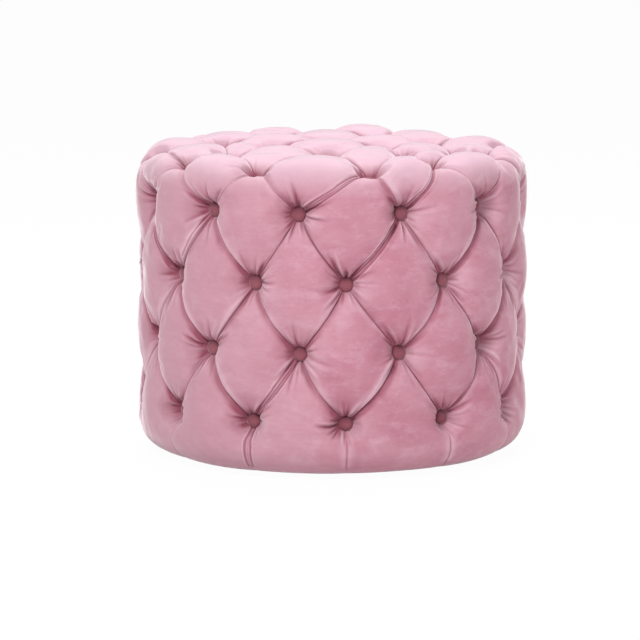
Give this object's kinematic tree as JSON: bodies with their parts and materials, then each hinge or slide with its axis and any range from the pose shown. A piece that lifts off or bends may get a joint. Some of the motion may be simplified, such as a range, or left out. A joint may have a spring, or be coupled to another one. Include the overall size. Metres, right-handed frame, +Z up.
{
  "type": "round tufted ottoman",
  "caption": "Low round drum-shaped ottoman, upholstered all over in deep diamond-tufted velvet with covered buttons, on small floor glides.",
  "frame": {"origin": "centre of the drum's circle, on the floor", "axes": "+Z up out of the seat, the pictured side faces -Y, +X to its right"},
  "size_m": [0.5576, 0.5579, 0.4481],
  "materials": {
    "cover_velvet": "short-pile velvet, dusty pink",
    "button_velvet": "the same velvet drawn tight, with waxed twine",
    "foam": "open-cell foam, matte",
    "plywood": "birch plywood, bare",
    "softwood": "planed pine, bare",
    "hardboard": "thin bent hardboard, smooth face",
    "zinc_steel": "zinc-plated",
    "dust_lining": "non-woven lining, black",
    "nylon": "moulded nylon, black"
  },
  "bodies": {
    "root": {"base_board": "plywood", "base_screw_1": "zinc_steel", "base_screw_2": "zinc_steel", "base_screw_3": "zinc_steel", "base_screw_4": "zinc_steel", "base_screw_5": "zinc_steel", "base_screw_6": "zinc_steel", "button_row_1": "button_velvet", "button_row_2": "button_velvet", "button_row_3": "button_velvet", "button_row_4": "button_velvet", "dust_cover": "dust_lining", "glide_1": "nylon", "glide_2": "nylon", "glide_3": "nylon", "glide_4": "nylon", "glide_5": "nylon", "glide_6": "nylon", "middle_hoop": "plywood", "post_1": "softwood", "post_2": "softwood", "post_3": "softwood", "post_4": "softwood", "post_5": "softwood", "post_6": "softwood", "seat_board": "plywood", "seat_screw_1": "zinc_steel", "seat_screw_2": "zinc_steel", "seat_screw_3": "zinc_steel", "seat_screw_4": "zinc_steel", "seat_screw_5": "zinc_steel", "seat_screw_6": "zinc_steel", "side_cover_back": "cover_velvet", "side_cover_front": "cover_velvet", "side_foam": "foam", "top_buttons_inner": "button_velvet", "top_buttons_outer": "button_velvet", "top_cover": "cover_velvet", "top_foam": "foam", "wall_back": "hardboard", "wall_front": "hardboard"}
  },
  "joints": []
}
